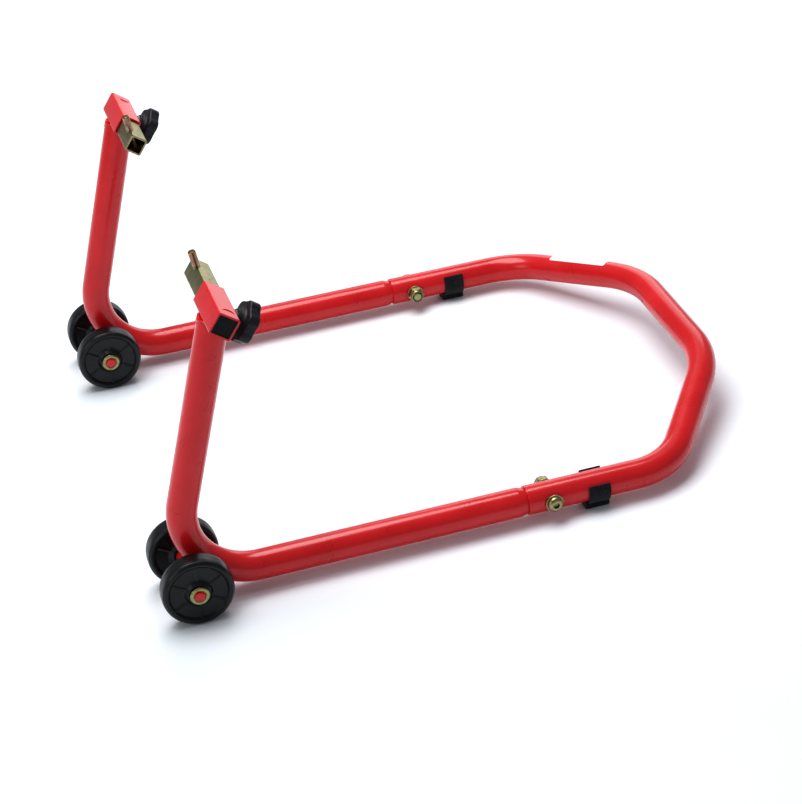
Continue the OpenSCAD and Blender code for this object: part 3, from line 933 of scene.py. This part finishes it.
def build_label(bm):
    """Blank label with rounded corners, wrapped over the slanted tube on the right."""
    corners = handle_corners()
    corner, bar = corners[4], corners[3]
    along = (bar - corner).normalized()
    start, length, wrap, lean = 60, 82.5, math.radians(96), math.radians(-24)
    over = (Z - along * Z.dot(along)).normalized()
    side = along.cross(over)
    round_by, columns, rows = 1.2, 60, 36
    half_width = TUBE_R * wrap / 2
    sheets = []
    for radius, flip in ((TUBE_R + 0.02, True), (TUBE_R + 0.25, False)):
        grid = []
        for i in range(columns + 1):
            s = length * i / columns
            near = min(s, length - s)
            cut = round_by - math.sqrt(max(0, round_by ** 2 - max(0, round_by - near) ** 2))
            line = []
            for k in range(rows + 1):
                w = (half_width - cut) * (2 * k / rows - 1)
                t = w / TUBE_R + lean
                out = over * math.cos(t) + side * math.sin(t)
                line.append(bm.verts.new(corner + along * (start + s) + out * radius))
            grid.append(line)
        for a, b in zip(grid, grid[1:]):
            for k in range(rows):
                face = (a[k], a[k + 1], b[k + 1], b[k])
                bm.faces.new(face[::-1] if flip else face)
        sheets.append(grid)
    skin(bm, [rim(grid) for grid in sheets])


# ---- putting the pieces on -----------------------------------------------------------------------
def carry(node, material):
    """Gives a CAD node that already has its final shape a finished surface."""
    obj = frame["nodes"][node]
    obj.data.materials.clear()
    obj.data.materials.append(material)


piece("handle_shell", build_handle, "frame", RED, ["handle_tube"])
piece("handle_label_wrap", build_label, "frame", LABEL, ["handle_label"], sharp=60)

for side in ("left", "right"):
    flip = side == "right"

    def add(name, build, body, material, node=None, sharp=35):
        nodes = [f"{side}_{node}"] if node else []
        return piece(f"{side}_{name}", build, body, material, nodes, flip, sharp)

    add("arm_shell", build_arm, "frame", RED, "arm")
    add("sleeve_shell", build_sleeve, "frame", RED, "sleeve")
    add("sleeve_weld", build_sleeve_weld, "frame", RED, sharp=80)
    add("sleeve_tack", build_sleeve_tack, "frame", RED, sharp=80)
    add("plug_moulding", build_plug, "frame", PLUG, "sleeve_plug")
    adapter_at, pin_y = on_left(f"{side}_adapter_tube"), on_left(f"{side}_fork_pin").y
    add("adapter_shell", lambda bm: build_adapter(bm, adapter_at), f"{side}_adapter",
        ZINC, "adapter_tube")
    add("fork_pin_turned", lambda bm: build_pin(bm, pin_y), f"{side}_adapter",
        BRONZE, "fork_pin")
    add("clamp_nut_hex", build_clamp_nut, "frame", RED, "clamp_nut")
    add("clamp_nut_weld", build_nut_weld, "frame", RED, sharp=80)
    add("knob_moulding", build_knob, f"{side}_clamp_knob", PLASTIC, "knob")
    add("axle_turned", build_axle, "frame", RED, "axle")
    add("axle_ring_pair", build_axle_rings, "frame", ZINC, "axle_rings")
    add("lug_welds", build_lug_welds, "frame", RED, sharp=80)
    add("joint_bolt_socket", build_joint_bolt, "frame", ZINC, "joint_bolt")
    add("joint_washer_pair", build_joint_washers, "frame", ZINC, "joint_washers")
    add("joint_nut_hex", build_joint_nut, "frame", ZINC, "joint_nut")
    add("joint_nut_insert", build_nut_insert, "frame", NYLON)
    foot = add("foot_rubber", build_foot, "frame", RUBBER, "foot", 40)
    soften = foot.modifiers.new("soften", "BEVEL")
    soften.width, soften.segments, soften.limit_method = 0.7 * MM, 3, "ANGLE"
    for place in ("outer", "inner"):
        centre = middle(f"left_{place}_wheel")
        mid_y = AXLE_AT.y + (-1 if place == "outer" else 1) * 37
        outward = -Y if place == "outer" else Y
        at = Vector((centre.x, mid_y, centre.z))
        piece(f"{side}_{place}_wheel_moulding", lambda bm: build_wheel(bm, at, outward),
              f"{side}_{place}_wheel", NYLON, [f"{side}_{place}_wheel"], flip, 50)
        carry(f"{side}_{place}_bush", BUSH)
    carry(f"{side}_clamp_washer", STEEL)
    carry(f"{side}_clamp_stud", STEEL)
    carry(f"{side}_axle_lugs", RED)
    carry(f"{side}_axle_spacers", RED)


# ---- studio --------------------------------------------------------------------------------------
def floor():
    s = Surface("studio_floor")
    s.colour(s.ramp(s.grain(400, 3), [(0.35, (0.84, 0.88, 0.92)), (0.65, (0.87, 0.91, 0.95))]))
    s.rough(s.grain(60, 3), 0.62, 0.72)
    bm = bmesh.new()
    bmesh.ops.create_grid(bm, x_segments=4, y_segments=4, size=30)
    mesh = bpy.data.meshes.new("studio_floor")
    bm.to_mesh(mesh)
    bm.free()
    mesh.materials.append(s.material)
    obj = bpy.data.objects.new("studio_floor", mesh)
    obj.location.z = -0.0002
    bpy.context.scene.collection.objects.link(obj)


def area_light(name, at, aim, size, power):
    light = bpy.data.lights.new(name, "AREA")
    light.shape = "RECTANGLE"
    light.size, light.size_y = size
    light.energy = power
    obj = bpy.data.objects.new(name, light)
    obj.location = at
    obj.rotation_euler = (Vector(aim) - Vector(at)).to_track_quat("-Z", "Y").to_euler()
    bpy.context.scene.collection.objects.link(obj)


def world():
    w = bpy.data.worlds.new("studio")
    w.use_nodes = True
    back = w.node_tree.nodes["Background"]
    back.inputs["Color"].default_value = (0.93, 0.96, 1.0, 1)
    back.inputs["Strength"].default_value = 0.19
    bpy.context.scene.world = w


LENS_MM = 101.5
CAMERA_AT = (-0.521, -2.1691, 1.3447)
CAMERA_TURN = (-13.35, 59.27, -5.92)    # heading, pitch and roll, in degrees


def camera():
    """Camera 2.6 m away, above and to the left of the stand's near side."""
    data = bpy.data.cameras.new("camera")
    data.sensor_width = 36
    data.lens = LENS_MM
    obj = bpy.data.objects.new("camera", data)
    heading, pitch, roll = (math.radians(a) for a in CAMERA_TURN)
    turn = Matrix.Rotation(heading, 4, "Z") @ Matrix.Rotation(pitch, 4, "X") @ Matrix.Rotation(roll, 4, "Z")
    obj.matrix_world = Matrix.Translation(CAMERA_AT) @ turn
    bpy.context.scene.collection.objects.link(obj)
    bpy.context.scene.camera = obj


floor()
world()
area_light("top", (-0.3, 0.5, 2.6), (0, 0, 0.1), (2.6, 1.6), 40)
area_light("left", (-2.4, -1.0, 1.3), (-0.1, 0, 0.1), (1.4, 1.4), 5)
area_light("back", (1.2, 2.6, 1.5), (0, 0, 0.1), (2.0, 1.0), 5)
area_light("low_right", (0.95, 1.9, 0.5), (-0.2, 0, 0.3), (1.0, 0.7), 1.2)
camera()
view = bpy.context.scene.view_settings
view.view_transform, view.look, view.exposure = "Standard", "High Contrast", 0.45
